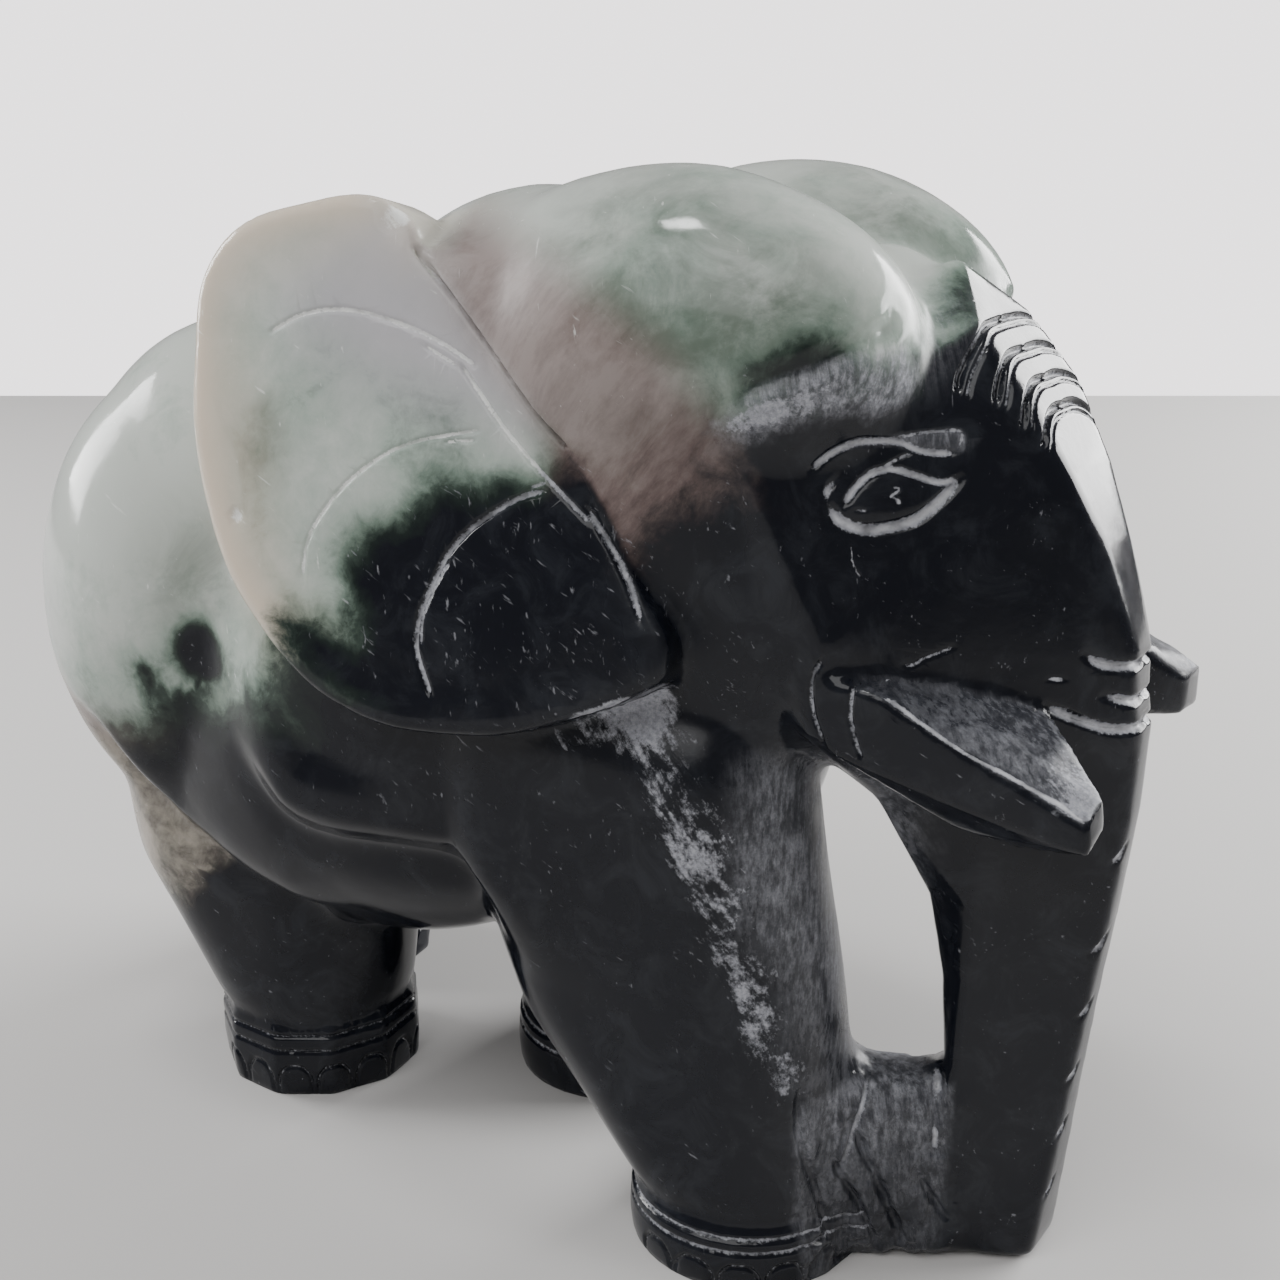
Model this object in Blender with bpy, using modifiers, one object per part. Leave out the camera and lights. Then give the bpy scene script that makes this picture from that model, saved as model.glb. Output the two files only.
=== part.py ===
"""Carved jade elephant, one solid.

The elephant faces +X and stands on its four feet and the end of its trunk.
The masses are blocked out as balls and as hulls drawn round balls, fused by a
voxel remesh and smoothed.  The crisp pieces, which are the wedge of the face,
the trunk, the ears, the tusks and the feet, are fused on afterwards, so that
their edges stay.  The carving is blocked out in millimetres, x forward from
the middle of the body, y to the elephant's left and z up from the shelf, and
is brought to metres at the end, with its origin under the middle of its box.
"""
import math

import bmesh
import bpy
from mathutils import Matrix, Vector

MM = 0.001
RIGHT = -1
LEFT = 1

# Each foot: x and y of its middle, and its height up to the ankle
FEET = {
    "right_front": (24.5, -11.3, 5.6),
    "left_front": (-2.3, 6.4, 6.5),
    "right_hind": (-29.2, -11.0, 7.6),
    "left_hind": (-44.0, 8.0, 7.6),
}
FOOT_RADIUS = 10.7
FOOT_SIDES = {"right_front": 28, "left_front": 28, "right_hind": 11, "left_hind": 11}
# From the ankle down the outer side to the sole: share of the radius, share of the height
FOOT_PROFILE = [(0.9, 1.25), (0.985, 1.0), (1.0, 0.45), (0.98, 0.1), (0.94, 0.0)]
ANKLE_INSET = (0.5, 0.6)
SOLE_CUT = 0.6

EAR_THICKNESS = 7.0
EAR_EDGE = 1.0
EAR_LEAN = math.radians(11.7)
EAR_YAW = math.radians(10.0)
EAR_MIDDLE = Vector((0.0, -26.0, 70.0))
# Side view of the ear, from the middle of its plane: forward, up
EAR_OUTLINE = [
    (-3.6, 22.0), (-1.0, 18.2), (4.5, 12.4), (13.5, 3.6), (19.4, -6.2), (22.7, -12.4), (21.0, -13.9),
    (15.5, -16.6), (6.5, -19.2), (-5.0, -18.8), (-13.9, -12.8), (-19.1, -4.6), (-21.7, 8.0), (-20.4, 16.8),
    (-12.0, 21.4),
]
# The right ear's plane, with its outer face at zero
EAR_PLANE = (
    Matrix.Translation(EAR_MIDDLE) @ Matrix.Rotation(EAR_YAW, 4, "Z")
    @ Matrix.Rotation(-EAR_LEAN, 4, "X") @ Matrix.Rotation(math.radians(90), 4, "X")
)

TRUNK_CORNER = 1.2
TUSK_CORNER = 0.3

BLEND_VOXEL = 1.1
BLEND_STEPS = 10
FINE_VOXEL = 0.75
FINE_STEPS = 3
TRIANGLES = 9200
SHARP_ANGLE = math.radians(35)

STONE = (0.20, 0.25, 0.22, 1)
STONE_ROUGHNESS = 0.15


def clear_scene():
    for thing in list(bpy.data.objects):
        bpy.data.objects.remove(thing, do_unlink=True)


def new_object(name, bm, collection):
    mesh = bpy.data.meshes.new(name)
    bm.to_mesh(mesh)
    bm.free()
    thing = bpy.data.objects.new(name, mesh)
    collection.objects.link(thing)
    return thing


def add_ball(bm, centre, radii):
    """A ball at centre with one radius, or one for each axis."""
    if isinstance(radii, (int, float)):
        radii = (radii, radii, radii)
    place = Matrix.Translation(Vector(centre)) @ Matrix.Diagonal((*radii, 1.0))
    bmesh.ops.create_uvsphere(bm, u_segments=32, v_segments=16, radius=1.0, matrix=place)


def ball(collection, name, centre, radii):
    bm = bmesh.new()
    add_ball(bm, centre, radii)
    new_object(name, bm, collection)


def hull(collection, name, balls):
    """The tight skin round a group of balls, each (centre, radii)."""
    bm = bmesh.new()
    for centre, radii in balls:
        add_ball(bm, centre, radii)
    wrapped = bmesh.ops.convex_hull(bm, input=bm.verts)
    inside = set(wrapped["geom_interior"] + wrapped["geom_unused"])
    bmesh.ops.delete(bm, geom=[v for v in bm.verts if v in inside], context="VERTS")
    loose = [v for v in bm.verts if not v.link_faces]
    bmesh.ops.delete(bm, geom=loose, context="VERTS")
    bmesh.ops.recalc_face_normals(bm, faces=bm.faces)
    new_object(name, bm, collection)


def both_sides(balls, side):
    return [((x, y * side, z), radii) for (x, y, z), radii in balls]


def torso(collection):
    ball(collection, "barrel", (-14, 0, 49), (34, 27.5, 28.5))
    ball(collection, "back", (-18, 0, 60), (29, 22, 21.5))
    ball(collection, "chest", (6, 0, 47), (18.5, 20, 25))
    ball(collection, "rump", (-35, 0, 53), (21.5, 24, 26.5))
    for side in (RIGHT, LEFT):
        ball(collection, "hip", (-38, 14 * side, 51.5), (18, 15.5, 24))
        ball(collection, "flank", (-18, 12 * side, 41.5), (28, 15.5, 21))
        ball(collection, "croup", (-34, 10 * side, 60), (20, 16, 19.5))


def neck(collection):
    """The two domes of the skull and the neck that they run down into, flush with the ears."""
    ball(collection, "skull", (14, 0, 70), (21, 20, 20))
    ball(collection, "left_dome", (15.3, 11, 80), (20.8, 12.8, 14.5))
    ball(collection, "right_dome", (16, -11.5, 80), (21.3, 13.3, 14.9))
    ear_front = [(-0.8, 16.6), (4.8, 10.8), (10.8, 4.8)]
    under_ear = [EAR_PLANE @ Vector((forward, up, -3.2)) for forward, up in ear_front]
    fill = [((x, -y, z), 2.9) for x, y, z in under_ear]
    fill += [((5, 10.5, 79.2), 11.8), ((18, 11, 79.5), 12.8), ((12, 13, 65), 8.6), ((21, 13.6, 64), 8)]
    fill.append(((20, 15.5, 64), 6.5))
    cheek = [
        ((8, 15, 70), 8), ((22, 15, 74), 6), ((28, 15.5, 60), 4.5), ((29, 14, 53), 3.5), ((14, 15, 56), 7),
    ]
    for side in (RIGHT, LEFT):
        ball(collection, "nape", (3.5, 10 * side, 79.0), (18.5, 12.4, 13.9))
        hull(collection, "neck_side", both_sides(fill, side))
        hull(collection, "cheek", both_sides(cheek, side))


def face(collection):
    """The wedge of the face, which runs from a narrow ridge back to the line of the cheek."""
    ridge = [
        ((34.6, 2.2, 87.2), 1.6), ((38.8, 4.3, 82.0), 1.6), ((42.6, 4.2, 77.0), 2.0),
        ((45.8, 3.4, 71.6), 2.0), ((48.6, 2.0, 66.0), 1.8), ((51.6, 1.2, 58.0), 1.6),
        ((52.2, 1.4, 51.0), 1.6),
    ]
    cheek = [
        ((26.6, 19.0, 76.0), 1.4), ((29.2, 18.9, 70), 1.3), ((32.6, 17.9, 62.8), 1.3),
        ((33.6, 17.8, 60), 1.3), ((33.4, 17.2, 53.0), 1.4), ((36, 8, 47), 3), ((14, 8, 62), 6),
    ]
    hull(collection, "face", both_sides(ridge + cheek, RIGHT) + both_sides(ridge + cheek, LEFT))


def trunk(collection):
    """Six-sided sections: a narrow front, slanting sides and a wider back."""
    # Each section's z, then x and half width of its front, its middle and its back
    sections = [
        (52, (54.0, 1.6), (46.0, 8.5), (32.5, 13.0)),
        (44, (53.6, 1.5), (45.2, 8.4), (35.0, 9.0)),
        (36, (52.8, 1.5), (44.2, 6.9), (38.4, 6.2)),
        (28, (51.9, 1.6), (43.6, 6.1), (39.8, 5.4)),
        (20, (50.9, 1.8), (43.2, 5.9), (40.2, 5.2)),
        (10, (49.8, 2.2), (42.8, 6.1), (38.8, 5.2)),
        (2, (48.9, 2.8), (42.2, 6.3), (37.5, 5.6)),
    ]
    for start, end in zip(sections, sections[1:]):
        balls = []
        for z, front, middle, back in (start, end):
            for x, half_width in (front, middle, back):
                inset = -TRUNK_CORNER if (x, half_width) == back else TRUNK_CORNER
                across = half_width - TRUNK_CORNER / 2
                balls.append(((x - inset, across, z), TRUNK_CORNER))
                balls.append(((x - inset, -across, z), TRUNK_CORNER))
        hull(collection, "trunk", balls)


def leg(collection, name, upper):
    """A leg hung from balls in the body, down to the ankle of its foot."""
    x, y, height = FEET[name]
    ankle = [((x, y, height + 1), (FOOT_RADIUS - ANKLE_INSET[0], FOOT_RADIUS - ANKLE_INSET[1], 1.5))]
    hull(collection, name + "_leg", upper[-2:] + ankle)
    hull(collection, name + "_thigh", upper)


def legs(collection):
    leg(collection, "right_front", [
        ((4, -13, 47), (10, 12, 12)), ((20.5, -13, 46), (9.5, 9.5, 9)),
        ((11, -12, 23), (9.5, 10, 8)), ((25.0, -12.0, 22), (8.7, 9.0, 9)),
    ])
    leg(collection, "left_front", [
        ((-1, 11, 46), (12, 12, 12)), ((8, 10, 46), (10, 11, 9)),
        ((-3, 8, 23), (10.5, 11, 8)), ((1, 8, 21), (10.5, 11, 9)),
    ])
    leg(collection, "right_hind", [
        ((-37, -13, 44), (14, 12, 12)), ((-22, -12, 40), (12, 12, 9)),
        ((-37, -12, 25), (12, 11.5, 6)), ((-27, -11.5, 24), (10, 10.5, 8)),
    ])
    leg(collection, "left_hind", [
        ((-39, 13, 44), (15, 12, 12)), ((-28, 12, 40), (12, 12, 9)),
        ((-43, 10, 25), (11.5, 11.0, 6)), ((-37, 10, 24), (10, 10.5, 8)),
    ])
    hull(collection, "web", [
        ((29, -10, 15.5), (5, 5, 3)), ((41, -3, 16.5), (3, 3.2, 2)),
        ((29, -10, 2), (5, 5, 2)), ((41, -4, 2), (3, 4, 2)),
    ])


def tail(collection):
    path = [
        ((-50.5, 1, 70), 3.4), ((-54.6, 1, 56), 3.0), ((-55.0, 0, 42), 2.7),
        ((-52.5, -2, 32), 3.0), ((-48, -3, 24), 2.0),
    ]
    for start, end in zip(path, path[1:]):
        hull(collection, "tail", [start, end])


def ear(collection, side):
    """A fan-shaped slab with rounded edges: its outline in its own plane, leaned and turned."""
    curve = bpy.data.curves.new("ear", "CURVE")
    curve.dimensions = "2D"
    curve.fill_mode = "BOTH"
    curve.extrude = EAR_THICKNESS / 2 - EAR_EDGE
    curve.bevel_depth = EAR_EDGE
    curve.bevel_resolution = 3
    curve.resolution_u = 8
    spline = curve.splines.new("BEZIER")
    spline.bezier_points.add(len(EAR_OUTLINE) - 1)
    for point, (forward, up) in zip(spline.bezier_points, EAR_OUTLINE):
        point.co = (forward, up, 0)
        point.handle_left_type = "AUTO"
        point.handle_right_type = "AUTO"
    spline.use_cyclic_u = True
    shape = bpy.data.objects.new("ear_curve", curve)
    collection.objects.link(shape)
    depsgraph = bpy.context.evaluated_depsgraph_get()
    mesh = bpy.data.meshes.new_from_object(shape.evaluated_get(depsgraph))
    bpy.data.objects.remove(shape, do_unlink=True)
    bm = bmesh.new()
    bm.from_mesh(mesh)
    bpy.data.meshes.remove(mesh)
    bmesh.ops.remove_doubles(bm, verts=bm.verts, dist=0.001)
    bm.transform(EAR_PLANE @ Matrix.Translation((0, 0, -EAR_THICKNESS / 2)))
    if side == LEFT:
        bm.transform(Matrix.Diagonal((1, -1, 1, 1)))
    bmesh.ops.recalc_face_normals(bm, faces=bm.faces)
    new_object("ear", bm, collection)


def tusk(collection, side):
    """A blunt wedge with a sloping top that comes out of the cheek and runs forward and down."""
    root = [(33.9, 18.5, 57.4), (34.8, 18.6, 51.9), (36.0, 15.4, 58.0), (36.5, 16.0, 51.3), (36.0, 8.0, 52.5)]
    top = [(38.5, 18.4, 56.9), (44.9, 17.3, 53.2), (50.2, 16.3, 50.8), (44.0, 11.0, 55.4), (48.8, 8.0, 53.9)]
    under = [(44.3, 14.6, 46.4), (49.2, 13.8, 45.7), (48.0, 6.0, 48.0)]
    end = [(54.7, 15.4, 48.8), (54.8, 15.3, 46.9), (54.8, 13.0, 50.3), (54.9, 12.6, 48.0)]
    if side == LEFT:
        # The left tusk is the shorter, and its end stands higher
        top = [(x, y, z + rise) for (x, y, z), rise in zip(top, (0.7, 1.6, 2.4, 1.5, 2.2))]
        under = [(44.3, 14.6, 47.9), (48.0, 6.0, 50.1)]
        end = [(52.9, 16.2, 52.3), (52.9, 16.0, 49.2), (52.8, 12.8, 52.0), (52.7, 12.8, 49.2)]
    hull(collection, "tusk", [((x, y * side, z), TUSK_CORNER) for x, y, z in root + top + under + end])


def foot(collection, name):
    """A turned foot: round in front, and cut to flats behind."""
    x, y, height = FEET[name]
    top, bottom = FOOT_PROFILE[0][1], FOOT_PROFILE[-1][1]
    bm = bmesh.new()
    outline = [
        bm.verts.new((FOOT_RADIUS * share, 0, height * rise))
        for share, rise in [(0, top)] + FOOT_PROFILE + [(0, bottom)]
    ]
    for upper, lower in zip(outline, outline[1:]):
        bm.edges.new((upper, lower))
    turned = new_object(name + "_foot", bm, collection)
    screw = turned.modifiers.new("Screw", "SCREW")
    screw.steps = FOOT_SIDES[name]
    screw.render_steps = FOOT_SIDES[name]
    screw.use_merge_vertices = True
    screw.merge_threshold = 0.0001
    apply_modifiers(turned)
    turned.data.transform(Matrix.Translation((x, y, 0)))


def apply_modifiers(thing):
    depsgraph = bpy.context.evaluated_depsgraph_get()
    mesh = bpy.data.meshes.new_from_object(thing.evaluated_get(depsgraph))
    thing.modifiers.clear()
    old = thing.data
    thing.data = mesh
    bpy.data.meshes.remove(old)


def fuse(collection, voxel, steps):
    """One skin round all that is in the collection, with its edges softened."""
    bm = bmesh.new()
    for thing in list(collection.objects):
        bm.from_mesh(thing.data)
        bpy.data.objects.remove(thing, do_unlink=True)
    skin = new_object("elephant", bm, collection)
    remesh = skin.modifiers.new("Remesh", "REMESH")
    remesh.mode = "VOXEL"
    remesh.voxel_size = voxel
    smooth = skin.modifiers.new("Smooth", "SMOOTH")
    smooth.factor = 0.5
    smooth.iterations = steps
    apply_modifiers(skin)
    return skin


def flatten_under(thing, height):
    """Cut everything below height away, so that the feet stand flat."""
    bm = bmesh.new()
    bm.from_mesh(thing.data)
    geometry = list(bm.verts) + list(bm.edges) + list(bm.faces)
    cut = bmesh.ops.bisect_plane(
        bm, geom=geometry, plane_co=(0, 0, height), plane_no=(0, 0, 1), clear_inner=True,
    )
    edges = [e for e in cut["geom_cut"] if isinstance(e, bmesh.types.BMEdge)]
    bmesh.ops.edgeloop_fill(bm, edges=edges)
    bmesh.ops.triangulate(bm, faces=[f for f in bm.faces if len(f.verts) > 4])
    bmesh.ops.recalc_face_normals(bm, faces=bm.faces)
    bm.to_mesh(thing.data)
    bm.free()


def thin_out(thing, triangles):
    reduce = thing.modifiers.new("Decimate", "DECIMATE")
    thing.data.calc_loop_triangles()
    reduce.ratio = triangles / len(thing.data.loop_triangles)
    apply_modifiers(thing)


def stand_at_origin(thing):
    """Put the middle of the box's underside at the origin."""
    low = [min(v.co[axis] for v in thing.data.vertices) for axis in range(3)]
    high = [max(v.co[axis] for v in thing.data.vertices) for axis in range(3)]
    middle = Vector(((low[0] + high[0]) / 2, (low[1] + high[1]) / 2, low[2]))
    thing.data.transform(Matrix.Translation(-middle))


def jade(thing):
    material = bpy.data.materials.new("jade")
    material.use_nodes = True
    surface = material.node_tree.nodes["Principled BSDF"]
    surface.inputs["Base Color"].default_value = STONE
    surface.inputs["Roughness"].default_value = STONE_ROUGHNESS
    surface.inputs["Metallic"].default_value = 0.0
    thing.data.materials.append(material)


def build():
    clear_scene()
    collection = bpy.data.collections.new("jade_elephant")
    bpy.context.scene.collection.children.link(collection)

    torso(collection)
    neck(collection)
    face(collection)
    trunk(collection)
    legs(collection)
    tail(collection)
    fuse(collection, BLEND_VOXEL, BLEND_STEPS)

    face(collection)
    trunk(collection)
    for side in (RIGHT, LEFT):
        ear(collection, side)
        tusk(collection, side)
    for name in FEET:
        foot(collection, name)
    elephant = fuse(collection, FINE_VOXEL, FINE_STEPS)

    flatten_under(elephant, SOLE_CUT)
    thin_out(elephant, TRIANGLES)
    stand_at_origin(elephant)
    elephant.data.transform(Matrix.Scale(MM, 4))
    elephant.data.shade_smooth()
    elephant.data.set_sharp_from_angle(angle=SHARP_ANGLE)
    jade(elephant)


build()
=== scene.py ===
"""Carved jade elephant: the finished stone, its polish, its cut lines and its colours.

The carving is blocked out in the carver's own millimetres, x forward from the
middle of the body, y to the elephant's left and z up from the shelf, and is
moved into the frame's metres at the end.
"""

import math
from collections import namedtuple

import bpy
import numpy as np
from mathutils import Matrix, Vector


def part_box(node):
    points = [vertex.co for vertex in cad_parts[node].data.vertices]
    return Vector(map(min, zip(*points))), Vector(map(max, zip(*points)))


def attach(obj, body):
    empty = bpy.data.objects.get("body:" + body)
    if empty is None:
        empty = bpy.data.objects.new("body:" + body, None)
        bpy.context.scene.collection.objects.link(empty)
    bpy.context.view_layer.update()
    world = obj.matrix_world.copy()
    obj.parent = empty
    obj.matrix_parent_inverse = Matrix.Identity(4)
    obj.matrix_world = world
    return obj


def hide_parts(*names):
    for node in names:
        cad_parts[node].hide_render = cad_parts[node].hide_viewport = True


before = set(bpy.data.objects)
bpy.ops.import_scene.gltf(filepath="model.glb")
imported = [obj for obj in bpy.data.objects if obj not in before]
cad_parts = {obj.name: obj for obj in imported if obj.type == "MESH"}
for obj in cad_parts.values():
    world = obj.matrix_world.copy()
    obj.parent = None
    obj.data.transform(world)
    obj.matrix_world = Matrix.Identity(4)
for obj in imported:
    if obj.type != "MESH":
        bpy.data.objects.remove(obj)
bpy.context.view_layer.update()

# The carver's millimetres against the frame's box
REAR_X = -57.34
NOSE_X = 55.15
low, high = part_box("elephant")
UNIT = (high[0] - low[0]) / (NOSE_X - REAR_X)
PLACE = Matrix.Translation((low[0] - REAR_X * UNIT, (low[1] + high[1]) / 2, low[2])) @ Matrix.Scale(UNIT, 4)

RIGHT = -1
LEFT = 1
BOTH = (RIGHT, LEFT)

FOOT_RADIUS = 10.7
FEET = {
    "right_front": (24.5, -11.3, 5.6),
    "left_front": (-2.3, 6.4, 6.5),
    "right_hind": (-29.2, -11.0, 7.6),
    "left_hind": (-44.0, 8.0, 7.6),
}

TUSK_CORNER = 0.3

EAR_THICKNESS = 7.0
EAR_LEAN = math.radians(11.7)
EAR_YAW = math.radians(10.0)
CHIPS = [((-16.6, -29.2, 64.9), 1.3, 0.5), ((-3.9, -22.1, 90.3), 2.3, 0.4), ((-20.8, -26.2, 79.5), 1.0, 0.3)]
EAR_MIDDLE = Vector((0.0, -26.0, 70.0))
EAR_OUTLINE = [
    (-3.8, 21.1), (-1.1, 17.7), (4.5, 12.4), (13.5, 3.6), (19.4, -6.2), (22.7, -12.4), (21.0, -13.9),
    (15.5, -16.6), (6.5, -19.2), (-5.0, -18.8), (-13.9, -12.8), (-19.1, -4.6), (-21.7, 8.0),
    (-20.4, 16.8), (-12.0, 21.0),
]

BLEND_VOXEL = 0.9
BLEND_STEPS = 15
FINE_VOXEL = 0.45
FINE_STEPS = 4
TRIANGLES = 188000

# How much is cut off under the soles before and after the carving
SOLE_CUT = 0.6
SOLE_SKIM = 0.02


def facing(middle, normal):
    """A work plane that stands at a point: across, up, and out along its normal."""
    out = Vector(normal).normalized()
    across = Vector((0, 0, 1)).cross(out).normalized()
    return Matrix.Translation(middle) @ Matrix((across, out.cross(across), out)).transposed().to_4x4()


EAR_PLANE = (
    Matrix.Translation(EAR_MIDDLE) @ Matrix.Rotation(EAR_YAW, 4, "Z")
    @ Matrix.Rotation(-EAR_LEAN, 4, "X") @ Matrix.Rotation(math.radians(90), 4, "X")
)
WORK_PLANES = {
    "ear": EAR_PLANE,
    "face": facing((38, -13, 68), (0.69, -0.675, 0.262)),
    "brow": facing((45, 0, 75), (0.83, 0, 0.56)),
    "front": facing((0, 0, 0), (1, 0, 0)),
    "side": facing((0, 0, 0), (0, -1, 0)),
    "web": facing((37, -9, 8), (0.6, -0.78, 0.05)),
}
MIRROR = np.array((1, -1, 1))


def deselect():
    bpy.ops.object.select_all(action="DESELECT")


def pick(piece):
    """Only this piece is selected and active."""
    deselect()
    piece.select_set(True)
    bpy.context.view_layer.objects.active = piece


def join(pieces):
    deselect()
    for piece in pieces:
        piece.select_set(True)
    bpy.context.view_layer.objects.active = pieces[0]
    bpy.ops.object.join()
    bpy.ops.object.transform_apply(location=True, rotation=True, scale=True)
    return bpy.context.object


def ball(centre, radii):
    if isinstance(radii, (int, float)):
        radii = (radii, radii, radii)
    bpy.ops.mesh.primitive_uv_sphere_add(segments=40, ring_count=20, radius=1, location=centre, scale=radii)
    return bpy.context.object


def hull(balls):
    """The tight skin round a group of balls, each (centre, radii)."""
    piece = join([ball(centre, radii) for centre, radii in balls])
    bpy.ops.object.mode_set(mode="EDIT")
    bpy.ops.mesh.select_all(action="SELECT")
    bpy.ops.mesh.convex_hull()
    bpy.ops.object.mode_set(mode="OBJECT")
    return piece


def both_sides(balls, side):
    return [((x, y * side, z), radii) for (x, y, z), radii in balls]


def torso():
    pieces = [
        ball((-14, 0, 49), (34, 27.5, 28.5)),
        ball((-18, 0, 60), (29, 22, 21.5)),
        ball((6, 0, 47), (18.5, 20, 25)),
        ball((-35, 0, 53), (21.5, 24, 26.5)),
    ]
    for side in (RIGHT, LEFT):
        pieces.append(ball((-38, 14 * side, 51.5), (18, 15.5, 24)))
        pieces.append(ball((-18, 12 * side, 41.5), (28, 15.5, 21)))
        pieces.append(ball((-34, 10 * side, 60), (20, 16, 19.5)))
    return pieces


def neck():
    """The two domes of the skull and the neck that they run down into, flush with the ears."""
    pieces = [
        ball((14, 0, 70), (21, 20, 20)), ball((29, 0, 82.3), 6.3),
        ball((15.3, 11, 80), (20.8, 12.8, 14.5)), ball((16.3, -11.6, 81), (21.2, 13.2, 13.9)),
    ]
    for side in (RIGHT, LEFT):
        pieces.append(ball((3.5, 10 * side, 79.0), (18.5, 12.4, 13.9)))
        front_edge = ((-0.8, 16.6), (4.8, 10.8), (10.8, 4.8))
        rim = [EAR_PLANE @ Vector((forward, up, -3.2)) for forward, up in front_edge]
        fill = [((x, -y, z), 2.9) for x, y, z in rim]
        fill += [((5, 10.5, 79.2), 11.8), ((18, 11, 79.5), 12.8), ((12, 13, 65), 8.6), ((21, 13.6, 64), 8)]
        fill.append(((20, 15.5, 64), 6.5))
        pieces.append(hull(both_sides(fill, side)))
        cheek = [
            ((8, 15, 70), 8), ((22, 15, 74), 6), ((28, 15.5, 60), 4.5),
            ((29, 14, 53), 3.5), ((14, 15, 56), 7),
        ]
        pieces.append(hull(both_sides(cheek, side)))
    return pieces


def head():
    """The wedge of the face, which runs from a narrow ridge back to the line of the cheek."""
    ridge = [
        ((35.2, 0.2, 86.4), 1.2), ((38.5, 4.7, 82.2), 1.5), ((43.0, 4.9, 77.0), 1.6),
        ((46.3, 4.0, 71.6), 1.5), ((48.9, 2.2, 66.0), 1.5), ((51.6, 1.2, 58.0), 1.6),
        ((52.2, 1.4, 51.0), 1.6),
    ]
    cheek = [
        ((26.6, 19.0, 76.0), 1.4), ((29.2, 18.9, 70), 1.3), ((32.6, 17.9, 62.8), 1.3),
        ((33.6, 17.8, 60), 1.3), ((33.4, 17.2, 53.0), 1.4), ((36, 8, 47), 3), ((14, 8, 62), 6),
    ]
    return [hull(both_sides(ridge + cheek, RIGHT) + both_sides(ridge + cheek, LEFT))]


def trunk():
    """Six-sided sections: a narrow front, slanting sides and a wider back."""
    sections = [
        (52, (54.0, 1.6), (46.0, 8.5), (32.5, 13.0)),
        (44, (53.6, 1.5), (45.2, 8.4), (35.0, 9.0)),
        (36, (52.8, 1.5), (44.2, 6.9), (38.4, 6.2)),
        (28, (51.9, 1.6), (43.6, 6.1), (39.8, 5.4)),
        (20, (50.9, 1.8), (43.2, 5.9), (40.2, 5.2)),
        (10, (49.8, 2.2), (42.8, 6.1), (38.8, 5.2)),
        (2, (48.9, 2.8), (42.2, 6.3), (37.5, 5.6)),
    ]
    corner = 1.2
    pieces = []
    for start, end in zip(sections, sections[1:]):
        balls = []
        for z, front, middle, back in (start, end):
            for x, y in (front, middle, back):
                inset = corner if (x, y) != back else -corner
                balls.append(((x - inset, y - corner * 0.5, z), corner))
                balls.append(((x - inset, corner * 0.5 - y, z), corner))
        pieces.append(hull(balls))
    return pieces


def leg(name, upper):
    x, y, height = FEET[name]
    ankle = [((x, y, height + 1), (FOOT_RADIUS - 0.5, FOOT_RADIUS - 0.6, 1.5))]
    return [hull(upper[-2:] + ankle), hull(upper)]


def legs():
    pieces = leg("right_front", [
        ((4, -13, 47), (10, 12, 12)), ((20.5, -13, 46), (9.5, 9.5, 9)),
        ((11, -12, 23), (9.5, 10, 8)), ((25.0, -12.0, 22), (8.7, 9.0, 9)),
    ])
    pieces += leg("left_front", [
        ((-1, 11, 46), (12, 12, 12)), ((8, 10, 46), (10, 11, 9)),
        ((-3, 8, 23), (10.5, 11, 8)), ((1, 8, 21), (10.5, 11, 9)),
    ])
    pieces += leg("right_hind", [
        ((-37, -13, 44), (14, 12, 12)), ((-22, -12, 40), (12, 12, 9)),
        ((-37, -12, 25), (12, 11.5, 6)), ((-27, -11.5, 24), (10, 10.5, 8)),
    ])
    pieces += leg("left_hind", [
        ((-39, 13, 44), (15, 12, 12)), ((-28, 12, 40), (12, 12, 9)),
        ((-43, 10, 25), (11.5, 11.0, 6)), ((-37, 10, 24), (10, 10.5, 8)),
    ])
    pieces.append(hull([
        ((29, -10, 15.5), (5, 5, 3)), ((41, -3, 16.5), (3, 3.2, 2)),
        ((29, -10, 2), (5, 5, 2)), ((41, -4, 2), (3, 4, 2)),
    ]))
    return pieces


def tail():
    path = [
        ((-50.5, 1, 70), 3.4), ((-54.6, 1, 56), 3.0), ((-55.0, 0, 42), 2.7),
        ((-52.5, -2, 32), 3.0), ((-48, -3, 24), 2.0),
    ]
    return [hull([start, end]) for start, end in zip(path, path[1:])]


def ear(side):
    bpy.ops.curve.primitive_bezier_circle_add(radius=1)
    shape = bpy.context.object
    curve = shape.data
    curve.dimensions = "2D"
    curve.fill_mode = "BOTH"
    curve.extrude = EAR_THICKNESS / 2 - 1.0
    curve.bevel_depth = 1.0
    curve.bevel_resolution = 4
    curve.resolution_u = 12
    curve.splines.clear()
    spline = curve.splines.new("BEZIER")
    spline.bezier_points.add(len(EAR_OUTLINE) - 1)
    for point, (forward, up) in zip(spline.bezier_points, EAR_OUTLINE):
        point.co = (forward, up, 0)
        point.handle_left_type = "AUTO"
        point.handle_right_type = "AUTO"
    spline.use_cyclic_u = True
    pick(shape)
    bpy.ops.object.convert(target="MESH")
    shape = bpy.context.object
    inward = Matrix.Translation((0, 0, -EAR_THICKNESS / 2))
    shape.data.transform(EAR_PLANE @ inward)
    if side == LEFT:
        shape.data.transform(Matrix.Diagonal((1, -1, 1, 1)))
    shape.matrix_world = Matrix()
    tidy_faces(shape)
    return shape


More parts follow.
